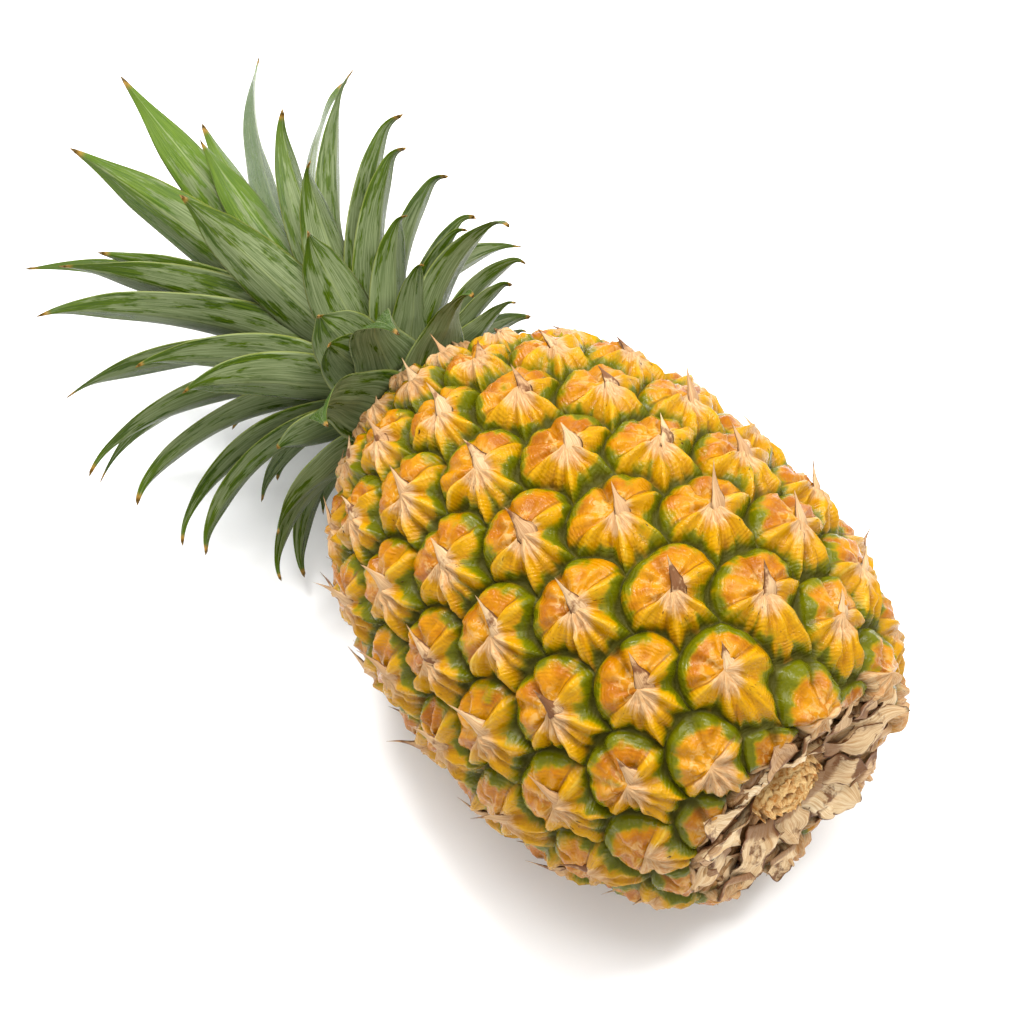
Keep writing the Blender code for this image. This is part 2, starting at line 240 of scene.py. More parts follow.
# Crown leaves from the lowest to the innermost: angle round the axis in degrees, length and
# greatest width in millimetres.
CROWN_LEAVES = (
    (170, 20, 14), (-95, 30, 16), (115, 30, 17), (50, 45, 20), (-60, 35, 17), (160, 25, 15),
    (-15, 35, 18), (80, 55, 19), (155, 30, 15), (-30, 50, 18), (65, 30, 26), (155, 40, 16),
    (-110, 40, 18), (-50, 55, 18), (115, 30, 17), (140, 50, 20), (-10, 22, 26), (250, 45, 20),
    (140, 40, 18), (70, 25, 30), (-25, 65, 20), (150, 45, 20), (-50, 50, 20), (-25, 70, 20),
    (125, 40, 20), (20, 50, 24), (195, 70, 20), (145, 55, 21), (-20, 75, 22), (90, 40, 24),
    (-85, 55, 22), (135, 60, 22), (-15, 85, 22), (10, 60, 24), (140, 70, 22), (-35, 95, 22),
    (110, 55, 22), (-10, 85, 22), (235, 75, 22), (65, 65, 24), (10, 90, 24), (150, 85, 22),
    (20, 85, 24), (125, 70, 22), (20, 75, 22), (200, 125, 24), (50, 95, 26), (-15, 105, 24),
    (95, 70, 22), (206, 140, 26), (110, 75, 22), (85, 100, 24),
)

# Further leaves on the side that lies away from the camera: how many, how high they reach, the
# angles that they keep to, and the sizes of the lowest and of one at the top in millimetres.
BACK_LEAVES = 26
BACK_LEVEL = 0.9
BACK_START = 182
BACK_SPREAD = 140
BACK_STEP = 57
BACK_LENGTH_MM = (28, 62)
BACK_WIDTH_MM = (17, 20)

# The light is bright enough to whiten the floor, so pigments are this much darker than seen.
PIGMENT_SHARE = 0.51
SKY_STRENGTH = 1.02
LIGHT_AIM = Vector((0, 0, 0.04))
# Lamps: name, place, size and power.
LAMPS = (
    ("key", (-0.12, 0.12, 1.40), 1.05, 20),
    ("lamp_left", (-0.60, 0.10, 1.00), 0.26, 8.5),
    ("lamp_right", (0.28, 0.50, 1.05), 0.22, 5),
)
FLOOR_HALF = 3
FLOOR_DROP = 0.2 * MM
FLOOR_COLOUR = (0.92, 0.92, 0.92)

# Camera, in the fruit's frame.
CAMERA_ELEVATION = radians(59.73)
CAMERA_BEARING = radians(41.03)
CAMERA_ROLL = radians(0.40)
CAMERA_DISTANCE = 860.6 * MM
CAMERA_LENS = 108.3
CAMERA_SENSOR = 36
CAMERA_CLIP = (0.05, 20)
CAMERA_ASIDE = 0.02787
CAMERA_UP = 0.02816


def seen(red, green, blue, shaded=1):
    """A linear pigment that looks like this 0 to 255 colour under the studio light.

    shaded is how much lighter the pigment is made where little light reaches it.
    """
    value = np.array((red, green, blue)) / 255
    linear = np.where(value <= 0.04045, value / 12.92, ((value + 0.055) / 1.055) ** 2.4)
    return tuple(linear * PIGMENT_SHARE * shaded)


# ---- shapes shared by all pieces

def smoothstep(value):
    """0 below 0, 1 above 1, and smooth between."""
    value = np.clip(value, 0, 1)
    return value * value * (3 - 2 * value)


def between(start, end, share):
    """What lies this share of the way from start to end."""
    return start + (end - start) * share


def hill(offset, half_width):
    """A smooth hill that is 1 in the middle."""
    return np.exp(-(offset / half_width) ** 2)


def wrap_angle(angle):
    """The same angle within half a turn of zero."""
    return (angle + pi) % (2 * pi) - pi


class Ripples:
    """A smooth, seeded sum of waves that stands in for lumps and bumps."""

    COUNT = 9

    def __init__(self, seed, wavelength):
        chance = np.random.default_rng(seed)
        ways = chance.normal(size=(self.COUNT, 3))
        ways /= np.linalg.norm(ways, axis=1)[:, None]
        sizes = chance.uniform(0.7, 1.5, self.COUNT)
        self.ways = ways * (2 * pi / wavelength * sizes)[:, None]
        self.starts = chance.uniform(0, 2 * pi, self.COUNT)
        self.scale = sqrt(2 / self.COUNT)

    def at(self, points):
        """The height of the waves at points, mostly between -1 and 1."""
        return np.sin(points @ self.ways.T + self.starts).sum(axis=-1) * self.scale


def axial_points(x, radius, angle):
    """Points at places along the axis, distances from it and angles round it."""
    x, radius, angle = np.broadcast_arrays(x, radius, angle)
    return np.stack([x, -radius * np.cos(angle), radius * np.sin(angle)], axis=-1)


def monotone_slopes(x, y):
    """Slopes at the stations that keep a cubic through them free of ripples."""
    rises = np.diff(y) / np.diff(x)
    before, after = rises[:-1], rises[1:]
    inner = np.where(before * after > 0, 2 * before * after / (before + after), 0)
    return np.concatenate([rises[:1], inner, rises[-1:]])


def hermite(x, y, slopes, at):
    """The cubic through the stations, read at the given places."""
    i = np.clip(np.searchsorted(x, at, side="right") - 1, 0, len(x) - 2)
    step = x[i + 1] - x[i]
    t = (at - x[i]) / step
    return ((2 * t**3 - 3 * t**2 + 1) * y[i] + (t**3 - 2 * t**2 + t) * step * slopes[i]
            + (3 * t**2 - 2 * t**3) * y[i + 1] + (t**3 - t**2) * step * slopes[i + 1])


class Barrel:
    """The fruit's smooth side, which turns over a rim at the stalk end.

    "climb" is the distance from the stalk end along the side, counted in turns of the girth,
    so that the spiral keeps its shape where the fruit narrows.
    """

    def __init__(self):
        at = np.array(STATION_AT) * FRUIT_LENGTH
        radius = np.array(STATION_RADIUS_MM) * MM
        along = np.linspace(0, FRUIT_LENGTH, PROFILE_SAMPLES)
        side = hermite(at, radius, monotone_slopes(at, radius), along)
        heading = atan2(side[1] - side[0], along[1])
        turned = heading + np.linspace(RIM_TURN - heading, 0, RIM_SAMPLES, endpoint=False)
        rim_x = RIM_RADIUS * (np.sin(turned) - sin(heading))
        rim_radius = side[0] - RIM_RADIUS * (cos(heading) - np.cos(turned))
        inward = np.linspace(DISH_LENGTH, 0, DISH_SAMPLES, endpoint=False)
        dish_x = rim_x[0] + inward * cos(RIM_TURN)
        dish_radius = rim_radius[0] - inward * sin(RIM_TURN)
        self.x = FRUIT_LENGTH / 2 + np.concatenate([dish_x, rim_x, -along])
        self.radius = np.concatenate([dish_radius, rim_radius, side])
        dx, dr = np.gradient(self.x), np.gradient(self.radius)
        length = np.hypot(dx, dr)
        self.normal_x, self.normal_r = dr / length, -dx / length
        steps = np.hypot(np.diff(self.x), np.diff(self.radius))
        girth = pi * (self.radius[1:] + self.radius[:-1])
        self.climb = np.concatenate([[0], np.cumsum(steps / girth)])
        self.climb -= self.climb[DISH_SAMPLES + RIM_SAMPLES]
        self.middle = float(np.interp(0, -self.x, self.climb))

    def read(self, climb, column):
        return np.interp(climb, self.climb, column)

    def points(self, climb, angle, lift):
        """Points on the side, raised by lift along its normal."""
        x = self.read(climb, self.x) + lift * self.read(climb, self.normal_x)
        radius = self.read(climb, self.radius) + lift * self.read(climb, self.normal_r)
        return axial_points(x, radius, angle)


BARREL = Barrel()


def lying_transform():
    """How the CAD part lies, read back from its stump, which is centred on the axis."""
    low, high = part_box("cut_stem")
    height = (low.z + high.z) / 2 - STUMP_MIDDLE * sin(CROWN_DROP)
    return Matrix.Translation((0, 0, height)) @ Matrix.Rotation(-CROWN_DROP, 4, "Y")


LYING = lying_transform()


def laid_down(points):
    """Points from the fruit's frame in the world, kept from going through the surface."""
    turn = np.array(LYING.to_3x3())
    placed = points @ turn.T + np.array(LYING.translation)
    placed[..., 2] = np.maximum(placed[..., 2], 0)
    return placed


def linked(name, data):
    """A new object in the scene."""
    thing = bpy.data.objects.new(name, data)
    bpy.context.scene.collection.objects.link(thing)
    return thing


def band(lower, upper):
    """Rows of four from two closed rings: the numbers of faces, or values at their corners."""
    ahead, above = np.roll(lower, -1, axis=0), np.roll(upper, -1, axis=0)
    return np.stack([lower, ahead, above, upper], axis=1)


def fan(middle, ring):
    """Rows of three from a middle and a closed ring, like those of band."""
    middle = np.broadcast_to(middle, ring.shape)
    return np.stack([middle, ring, np.roll(ring, -1, axis=0)], axis=1)


def corner_values(*numbers):
    """The three numbers of a mesh attribute over a grid of points."""
    return np.dstack(np.broadcast_arrays(*numbers))


class Surface:
    """Points, faces and values at the faces' corners, gathered until a mesh is made.

    Where faces are added with an order, 1 or -1, the second turns them over.
    """

    def __init__(self):
        self.blocks = []
        self.count = 0
        self.faces = []
        self.values = {}

    def add_points(self, points):
        """Add points and return their numbers in the same arrangement."""
        points = np.asarray(points, float)
        flat = points.reshape(-1, 3)
        numbers = np.arange(self.count, self.count + len(flat)).reshape(points.shape[:-1])
        self.blocks.append(flat)
        self.count += len(flat)
        return numbers

    def add_faces(self, numbers, **values):
        """Add faces, one per row, with values for each of their corners."""
        self.faces.extend(numbers.tolist())
        for name, array in values.items():
            self.values.setdefault(name, []).append(np.asarray(array, float).reshape(-1, 3))

    def add_bands(self, rings, order, **values):
        """Add faces between closed rings of points, with the values of the points."""
        for k in range(len(rings) - 1):
            corners = {key: band(*value[k:k + 2])[:, ::order] for key, value in values.items()}
            self.add_faces(band(rings[k], rings[k + 1])[:, ::order], **corners)

    def add_fan(self, middle, ring, order, **values):
        """Add triangles round a point, with pairs of values: of the point and of the ring."""
        corners = {key: fan(*pair)[:, ::order] for key, pair in values.items()}
        self.add_faces(fan(middle, ring)[:, ::order], **corners)

    def add_cap(self, ring, order, **values):
        """Close a ring of points with one face, with the values of its points."""
        corners = {key: value[::order] for key, value in values.items()}
        self.add_faces(ring[None, ::order], **corners)

    def add_tube(self, points, order, value):
        """Add rings of points closed at both ends, with the values of the points."""
        numbers = self.add_points(points)
        self.add_bands(numbers, order, leaf=value)
        self.add_cap(numbers[0], -order, leaf=value[0])
        self.add_cap(numbers[-1], order, leaf=value[-1])

    def make(self, name, material):
        """The finished, smooth-shaded object, lying as the CAD part does."""
        mesh = bpy.data.meshes.new(name)
        mesh.from_pydata(laid_down(np.vstack(self.blocks)), [], self.faces)
        for key, blocks in self.values.items():
            layer = mesh.attributes.new(key, "FLOAT_VECTOR", "CORNER")
            layer.data.foreach_set("vector", np.vstack(blocks).astype(np.float32).ravel())
        mesh.materials.append(material)
        mesh.shade_smooth()
        return linked(name, mesh)


# ---- materials in general

class Value:
    """One output in a material; sums and products of it are further nodes."""

    def __init__(self, shade, socket):
        self.shade = shade
        self.socket = socket

    def __add__(self, other):
        return self.shade.math("ADD", self, other)

    def __sub__(self, number):
        return self + -number

    def __mul__(self, other):
        return self.shade.math("MULTIPLY", self, other)

    def __abs__(self):
        return self.shade.math("ABSOLUTE", self)

    def step(self, start, end, low=0, high=1):
        """A smooth step from low, where this is at start, to high, where it is at end."""
        inputs = {"Value": self, "From Min": start, "From Max": end, "To Min": low,
                  "To Max": high}
        return self.shade.add("ShaderNodeMapRange", inputs, "Result",
                              interpolation_type="SMOOTHSTEP")


class Shade:
    """Short-hand for building the nodes of one material."""

    def __init__(self, name):
        self.material = bpy.data.materials.new(name)
        self.material.use_nodes = True
        self.tree = self.material.node_tree
        self.shader = self.tree.nodes["Principled BSDF"]

    def feed(self, socket, value):
        """Link a socket to a value, or set it to a number or a colour."""
        if isinstance(value, Value):
            self.tree.links.new(value.socket, socket)
        elif socket.type == "RGBA":
            socket.default_value = (*value, 1)
        else:
            socket.default_value = value

    def add(self, kind, inputs, output=0, **settings):
        """Add a node with its settings and inputs, and give the value of one output."""
        node = self.tree.nodes.new(kind)
        for key, value in settings.items():
            setattr(node, key, value)
        for key, value in inputs.items():
            self.feed(node.inputs[key], value)
        return Value(self, node.outputs[output])

    def math(self, operation, first, second=0):
        """A sum or the like of two numbers."""
        return self.add("ShaderNodeMath", {0: first, 1: second}, operation=operation)

    def mix(self, factor, first, second, blend="MIX"):
        """Two colours mixed."""
        inputs = {0: factor, 6: first, 7: second}
        return self.add("ShaderNodeMix", inputs, 2, data_type="RGBA", blend_type=blend)

    def parts(self, name):
        """The three numbers of a mesh attribute."""
        return self.split(self.add("ShaderNodeAttribute", {}, "Vector", attribute_name=name))

    def split(self, vector):
        """The three numbers of a vector."""
        outputs = self.add("ShaderNodeSeparateXYZ", {0: vector}).socket.node.outputs
        return [Value(self, socket) for socket in outputs]

    def join(self, x, y, z):
        """A vector from three numbers."""
        return self.add("ShaderNodeCombineXYZ", {0: x, 1: y, 2: z})

    def length(self, vector):
        """The length of a vector."""
        return self.add("ShaderNodeVectorMath", {0: vector}, "Value", operation="LENGTH")

    def place(self):
        """Where a point is on the object."""
        return self.add("ShaderNodeTexCoord", {}, "Object")

    def noise(self, vector, scale, detail, roughness=0.5, distortion=0):
        """Cloudy noise, mostly between 0.3 and 0.7."""
        inputs = {"Vector": vector, "Scale": scale, "Detail": detail, "Roughness": roughness,
                  "Distortion": distortion}
        return self.add("ShaderNodeTexNoise", inputs)

    def bump(self, height, distance, strength):
        """Small relief that changes only how light falls."""
        inputs = {"Height": height, "Distance": distance, "Strength": strength}
        self.feed(self.shader.inputs["Normal"], self.add("ShaderNodeBump", inputs))

    def finish(self, colour, roughness, specular):
        """The material, once it has its surface."""
        self.feed(self.shader.inputs["Base Color"], colour)
        self.feed(self.shader.inputs["Roughness"], roughness)
        self.feed(self.shader.inputs["Specular IOR Level"], specular)
        return self.material


# ---- skin with its eyes

def even_climb(number):
    """Climb of an eye on the even spiral; numbers rise towards the stalk end."""
    step = number * EYE_PITCH
    fall = step + EYE_PITCH_SKEW * step**2 + EYE_PITCH_FLARE * min(step, EYE_FLARE_END) ** 3
    return BARREL.middle + EYE_START - fall


def eye_fall(number):
    """How much nearer the stalk than the even spiral an eye grew, as a climb."""
    return EYE_FALLS.get(number, FLAT_EYE_FALL if number > LAST_ROUND_EYE else 0)


def eye_climb(number):
    """Climb of an eye where it really grew."""
    return even_climb(number) - eye_fall(number)


def corner_place(number, side, seen_from):
    """Climb and angle of a corner between three eyes, the angle counted from one eye's own."""
    climb, turn = 0, 0
    for eye in (number, number + side, number + BOTH_ROWS):
        climb += even_climb(eye) / 3 - eye_fall(eye) * CORNER_FALL_SHARE
        turn += wrap_angle((eye - seen_from) * EYE_DIVERGENCE) / 3
    return climb - CELL_SHIFT, turn


def eye_corners(number):
    """The six corners round an eye, each named by the eye and the side that define it."""
    return ((number, LEFT_ROWS), (number, RIGHT_ROWS), (number - LEFT_ROWS, LEFT_ROWS),
            (number - BOTH_ROWS, RIGHT_ROWS), (number - BOTH_ROWS, LEFT_ROWS),
            (number - RIGHT_ROWS, RIGHT_ROWS))


def crownward_edges(number):
    """The three edges of an eye that bulge towards the crown, as arrays of (climb, turn).

    Each is shared with one neighbour, whose arms it presses in. The turn is in radians from
    the eye's own angle.
    """
    corners = [np.array(corner_place(*name, number)) for name in eye_corners(number)[2:]]
    chance = np.random.default_rng(number + 500)
    edges = []
    for start, end, bulge in zip(corners, corners[1:], CELL_BULGES):
        share = np.linspace(0, 1, EDGE_POINTS + 1)
        line = between(start, end, share[:, None])
        along = (end - start) * (1, 1 / (2 * pi))
        outward = np.array([-along[1], along[0]])
        if outward @ (start[0] - eye_climb(number), start[1] / (2 * pi)) < 0:
            outward = -outward
        outward /= np.linalg.norm(outward)
        size = bulge * chance.uniform(0.75, 1.25)
        lean = chance.uniform(-0.25, 0.25)
        swell = size * (4 * share * (1 - share)) ** 0.75 * (1 + lean * (2 * share - 1))
        line += swell[:, None] * outward * (1, 2 * pi)
        edges.append(line)
    return edges


class Eye:
    """One eye's outline as seen from its hub, and the names of the outline's points."""

    def __init__(self, number, edges):
        self.number = number
        self.climb = eye_climb(number)
        self.angle = EYE_FIRST_ANGLE + number * EYE_DIVERGENCE
        lines = []
        self.names = []
        for neighbour, k in ((LEFT_ROWS, 0), (BOTH_ROWS, 1), (RIGHT_ROWS, 2)):
            line = edges[number + neighbour][k][:0:-1]
            lines.append(line + (0, wrap_angle(neighbour * EYE_DIVERGENCE)))
            self.names += [(number + neighbour, k, i) for i in range(EDGE_POINTS, 0, -1)]
        for k in range(3):
            lines.append(edges[number][k][:-1])
            self.names += [(number, k, i) for i in range(EDGE_POINTS)]
        self.outline = np.vstack(lines)


def corner_key(name):
    """One name for an outline point, whichever eye or edge it is reached from."""
    number, k, i = name
    if i in (0, EDGE_POINTS):
        return eye_corners(number)[2 + k + (i == EDGE_POINTS)]
    return name


def arm_ridges(way, chance):
    """How much a direction round the eye lies on one of the bract's arms."""
    ridge = np.zeros_like(way)
    for at, width, height in ARMS:
        at += chance.uniform(-4, 4)
        width *= chance.uniform(0.85, 1.3)
        height *= chance.uniform(0.8, 1)
        ridge = np.maximum(ridge, height * hill(wrap_angle(way - radians(at)), radians(width)))
    return ridge


def cushion_share(way, share):
    """1 on the cushion, towards the crown, and 0 on the bract's fan, towards the stalk.

    It also returns the angle by which a direction is past the line where the two meet.
    """
    out = smoothstep(share / 0.8)
    past = np.maximum(way - between(*FAN_ABOVE, out), between(*FAN_BELOW, out) - way)
    return smoothstep(past / FAN_EDGE + 0.5), past


def cushion_relief(way, share, flat, chance):
    """Height of the cushion: a dome with a dimple, a pit and creases between its lobes."""
    tall = CUSHION_MM * chance.uniform(0.85, 1.2)
    dome = between(VALLEY_MM, tall, np.sqrt(1 - 0.99 * share**DOME_POWER))
    dimple = np.hypot(flat[..., 0] - DIMPLE_AT_MM, flat[..., 1])
    dome = dome - DIMPLE_MM * hill(dimple, DIMPLE_RADIUS_MM) - PIT_MM * hill(share, PIT_SHARE)
    for at, width, depth in LOBE_CREASES_DEG:
        at += chance.uniform(-10, 10)
        depth *= chance.uniform(0.4, 1.3)
        crease = hill(wrap_angle(way - radians(at)), radians(width) / (0.5 + 0.5 * share))
        dome = dome - depth * CREASE_MM * crease * smoothstep((share - 0.1) / 0.4)
    return dome


def fan_relief(share, ridge, past):
    """Height of the bract's fan: its arms, the hollows between them and its lip."""
    reach = np.minimum(share / between(ARM_SPREAD, ARM_REACH, ridge), 1)
    height = between(VALLEY_MM, HUB_MM, (1 - reach**FAN_POWER) ** 0.75)
    height = height + ARM_MM * (ridge - 0.5) * smoothstep(share / 0.5) * (1 - share**5)
    lip = hill(past + LIP_ASIDE, LIP_WIDTH) * smoothstep(share / 0.4) * (1 - share**6)
    return height + LIP_MM * lip


def eye_relief(way, share, flat, chance):
    """Lift above the barrel in millimetres over one eye, its ridges and its cushion share.

    way is the direction round the eye, share is 0 at the hub and 1 at the outline, and flat
    is the place in millimetres from the hub.
    """
    way = wrap_angle(way + radians(chance.uniform(-3, 3)))
    cushion, past = cushion_share(way, share)
    ridge = arm_ridges(way, chance)
    dome = cushion_relief(way, share, flat, chance)
    lift = between(fan_relief(share, ridge, past), dome, cushion)
    groove = hill(past - GROOVE_ASIDE, GROOVE_ASIDE) * smoothstep(share / 0.3) * (1 - share**8)
    lift = lift - GROOVE_MM * groove
    lift = between(lift, HUB_MM + KNOB_MM, hill(share, KNOB_SHARE))
    return lift, ridge * (1 - cushion), cushion


def girth_share(climb):
    """How wide the fruit is at this climb, as a share of its greatest width."""
    return BARREL.read(climb, BARREL.radius) / WIDEST_RADIUS


def relief_scale(climb):
    """How tall the relief is at this climb, as a share of its greatest height."""
    return between(THIN_RELIEF, 1, girth_share(climb))


def place_along(climb):
    """Place along the fruit: 0 at the stalk end and 1 at the neck."""
    return 0.5 - BARREL.read(climb, BARREL.x) / FRUIT_LENGTH


def build_skin(material):
    """The whole fruit: every eye with its relief, the hollow stalk end and the neck."""
    edges = {n: crownward_edges(n) for n in range(EYE_AT_CROWN, EYE_AT_BASE + BOTH_ROWS + 1)}
    lumps = Ripples(3, 5.5 * MM)
    fine = Ripples(4, 2.4 * MM)
    surface = Surface()
    outline_numbers = {}
    for number in range(EYE_AT_CROWN, EYE_AT_BASE + 1):
        add_eye(surface, Eye(number, edges), outline_numbers, lumps, fine)
    close_ends(surface)
    return surface.make("fruit_skin", material)


def eye_grid(eye, lumps, fine):
    """An eye's points in rings round its hub, and the numbers that its material reads.

    These are: eye, the place from the hub in centimetres and a random number; tone, the share
    of cushion, of arm and of the way to the outline; age, the place along the fruit, the
    height, and the dryness.
    """
    chance = np.random.default_rng(eye.number + 900)
    radius = BARREL.read(eye.climb, BARREL.radius)
    offset = eye.outline - (eye.climb, 0)
    flat = np.stack([-offset[:, 0] * 2 * pi, offset[:, 1]], axis=-1) * radius
    way = np.arctan2(flat[:, 1], flat[:, 0])
    share = np.concatenate([[0], EYE_RINGS])[:, None]
    ways = np.broadcast_to(way, (len(share), len(way)))
    around = flat[None] * share[..., None] / MM
    lift, ridge, cushion = eye_relief(ways, share, around, chance)
    climb = eye.climb + offset[None, :, 0] * share
    angle = eye.angle + offset[None, :, 1] * share
    rough = BARREL.points(climb, angle, 0)
    inside = 1 - share**10
    scale = relief_scale(eye.climb)
    lift = lift * scale + inside * LUMP_MM * (lumps.at(rough) + 0.35 * fine.at(rough))
    lift[-1] = VALLEY_MM * scale + 0.25 * lumps.at(rough[-1])
    dry = smoothstep((eye.number - LAST_FRESH_EYE) / 3)
    flattened = smoothstep((eye.number - LAST_ROUND_EYE) / 3)
    lift = between(lift, FLAT_EYE_SHARE * lift + FLAT_EYE_DROP_MM, flattened * inside)
    points = BARREL.points(climb, angle, lift * MM)
    place = around / 10
    layers = {
        "eye": corner_values(place[..., 0], place[..., 1], chance.uniform(0, 1)),
        "tone": corner_values(cushion, ridge, share),
        "age": corner_values(place_along(eye.climb), lift / 5, dry),
    }
    return points, layers


def add_eye(surface, eye, outline_numbers, lumps, fine):
    """Mesh one eye in rings round its hub; the last ring is shared with its neighbours."""
    points, layers = eye_grid(eye, lumps, fine)
    hub = surface.add_points(points[0, :1])
    rings = [surface.add_points(row) for row in points[1:-1]]
    outline = []
    for name, point in zip(eye.names, points[-1]):
        key = corner_key(name)
        if key not in outline_numbers:
            outline_numbers[key] = int(surface.add_points(point[None])[0])
        outline.append(outline_numbers[key])
    rings.append(np.array(outline))
    surface.add_fan(hub[0], rings[0], 1, **{key: value[:2] for key, value in layers.items()})
    surface.add_bands(rings, -1, **{key: value[1:] for key, value in layers.items()})


def open_edges(faces):
    """The open edges of a surface as a table from each edge's end to its start."""
    ahead = {}
    for face in faces:
        for start, end in zip(face, face[1:] + face[:1]):
            ahead[start, end] = True
    return {end: start for start, end in ahead if (end, start) not in ahead}


def open_loops(faces):
    """The open edges of a surface joined into closed loops."""
    ahead = open_edges(faces)
    loops = []
    while ahead:
        start = next(iter(ahead))
        loop = [start]
        while ahead[loop[-1]] != start:
            loop.append(ahead.pop(loop[-1]))
        ahead.pop(loop[-1])
        loops.append(np.array(loop))
    return loops


def close_ends(surface):
    """Close the neck with a plain face and the stalk end with rings that dip inwards."""
    points = np.vstack(surface.blocks)
    lumps = Ripples(8, 6 * MM)
    for loop in open_loops(surface.faces):
        at_base = points[loop][:, 0].mean() > 0
        rings = BASE_RINGS_MM if at_base else NECK_RINGS_MM
        angles = np.arctan2(points[loop][:, 2], -points[loop][:, 1])
        for beyond, radius in rings:
            x = (FRUIT_LENGTH / 2 + beyond * MM) * (1 if at_base else -1)
            ring = axial_points(x, radius * MM, angles)
            ring[:, 0] += BASE_LUMP * lumps.at(ring) * at_base
            numbers = surface.add_points(ring)
            faces = band(loop, numbers)
            points = np.vstack(surface.blocks)
            eye = points[faces][..., [1, 2, 0]] * (100, 100, 0)
            tone = np.broadcast_to((0, 0.3, 0.2), eye.shape)
            age = np.broadcast_to((0.5, 0, 1), eye.shape)
            surface.add_faces(faces, eye=eye, tone=tone, age=age)
            loop = numbers
        surface.add_cap(loop, 1, **{key: np.zeros((len(loop), 3)) for key in surface.values})


class SkinShade(Shade):
    """The fruit's skin, with the values that several of its parts read."""

    def __init__(self):
        super().__init__("pineapple_skin")
        self.across, self.along, chosen = self.parts("eye")
        self.cushion, self.ridge, self.share = self.parts("tone")
        self.end, self.height, self.dry = self.parts("age")
        offset = chosen * 37
        spot = self.join(self.across, self.along, offset)
        flat = self.join(self.across, self.along, 0)
        self.reach = self.length(flat)
        way = self.add("ShaderNodeVectorMath", {0: flat}, operation="NORMALIZE")
        self.way_x, self.way_y, _ = self.split(way)
        rays = self.join(self.way_x, self.way_y, self.reach * 0.22 + offset)
        self.streaks = self.noise(rays, 7, 4, 0.6)
        self.fine_streaks = self.noise(rays, 24, 3, 0.6)
        self.blotches = self.noise(spot, 1.5, 3)
        self.patches = self.noise(self.join(self.across, self.along, offset + 11), 1.5, 2.5)
        self.wrinkles = self.noise(spot, 5.5, 3, 0.6, 0.8)
        self.grain = self.noise(self.place(), 900, 3)

    def ripe(self):
        """Orange cushions, pale rubbed spots, yellow fans, brighter arms, painted crest
        highlights.
        """
        flesh = self.mix(self.blotches.step(0.35, 0.65), seen(196, 112, 0), seen(232, 156, 0))
        pale = self.reach.step(0.9, 0.3) * self.wrinkles.step(0.46, 0.62)
        flesh = self.mix(pale * 0.65, flesh, seen(250, 200, 118))
        yellow = self.mix(self.streaks.step(0.35, 0.65), seen(194, 124, 0), seen(236, 168, 0))
        yellow = self.mix(self.ridge * 0.5, yellow, seen(252, 194, 4))
        # Painted highlight: a thin pale line along the crest of each arm.
        crest_highlight = self.ridge.step(0.88, 0.98) * self.streaks.step(0.4, 0.6)
        yellow = self.mix(crest_highlight * 0.5, yellow, seen(255, 216, 90))
        return self.mix(self.cushion, yellow, flesh)

    def greened(self, colour):
        """Olive rims of the cushions, and green tips and hollows of the fans."""
        share = self.share
        base_rim = self.end.step(0.22, 0.06) * share.step(0.45, 0.9, 0, 0.42)
        rim = share.step(0.55, 1, 0, 0.95) + base_rim
        tips = share.step(0.6, 1.05)
        hollows = self.ridge.step(0.6, 0.1) * share.step(0.35, 0.7, 0, 0.42)
        wing = self.way_x * cos(WING_WAY) + self.way_y * sin(WING_WAY)
        wing = wing.step(0.84, 0.98) * share.step(0.3, 0.7, 0, 0.5)
        green = self.mix(self.cushion, tips + hollows + wing, rim)
        green = green + (self.patches - 0.5) * 2.7 + (self.streaks - 0.5) * 0.7
        green = (green + self.end.step(0.7, 1, 0, 0.15)).step(0.16, 1.35)
        leafy = self.mix(green.step(0.25, 0.85), seen(182, 158, 0), seen(122, 124, 4))
        return self.mix(green.step(0, 0.6), colour, leafy)

    def papery(self):
        """How papery a place is: a band down the middle of each fan."""
        down = self.across * cos(PAPER_WAY) + self.along * sin(PAPER_WAY)
        beside = self.along * cos(PAPER_WAY) + self.across * -sin(PAPER_WAY)
        reach = self.length(self.join(down, beside * PAPER_NARROWING, 0))
        paper = reach.step(1.45, 0.15) + (self.streaks - 0.5) + (self.ridge - 0.5) * 0.22
        paper = paper + self.end.step(0.08, -0.02, 0, 0.9)
        return paper.step(0.38, 0.8) * self.cushion.step(0.6, 0.1)

    def dried(self, colour, paper):
        """Cream fibres where it is papery, brown husk on the last eyes, and dark scratches."""
        fine, patches, share = self.fine_streaks, self.patches, self.share
        fibre = self.mix(fine.step(0.35, 0.65), seen(226, 164, 108), seen(252, 216, 168))
        colour = self.mix(paper * 0.82, colour, fibre)
        husk = (fine * 0.7 + self.wrinkles * 0.3).step(0.38, 0.62)
        husk = self.mix(husk, seen(178, 118, 60), seen(238, 194, 138))
        husk = self.mix(patches.step(0.45, 0.62, 0, 0.7), husk, seen(112, 66, 26))
        colour = self.mix(self.dry * 0.92, colour, husk)
        scratch = fine.step(0.62, 0.68) * patches.step(0.5, 0.58)
        scratch = scratch * (self.cushion.step(0.5, 0) * share.step(0.8, 0.6))
        return self.mix(scratch * share.step(0.2, 0.35), colour, seen(78, 40, 10))

    def hemmed_and_shaded(self, colour, valley_shade):
        """A brown hem where fan meets cushion, and painted shade in seams and hollows."""
        hem = abs(self.cushion - 0.45).step(0.34, 0.12) * self.share.step(0.95, 0.7)
        hem = hem * self.streaks.step(0.3, 0.6, 0.2, 0.7)
        colour = self.mix(hem, colour, seen(140, 82, 30))
        # Painted shade: the seams and valley bottoms are darkened to a dark olive.
        colour = self.mix(valley_shade * 0.65, colour, seen(74, 62, 0))
        # Painted shade: low places are darkened by a brown-orange multiply.
        hollow = self.height.step(0.25, -0.35, 0, 0.2)
        return self.mix(hollow, colour, seen(120, 72, 0), "MULTIPLY")

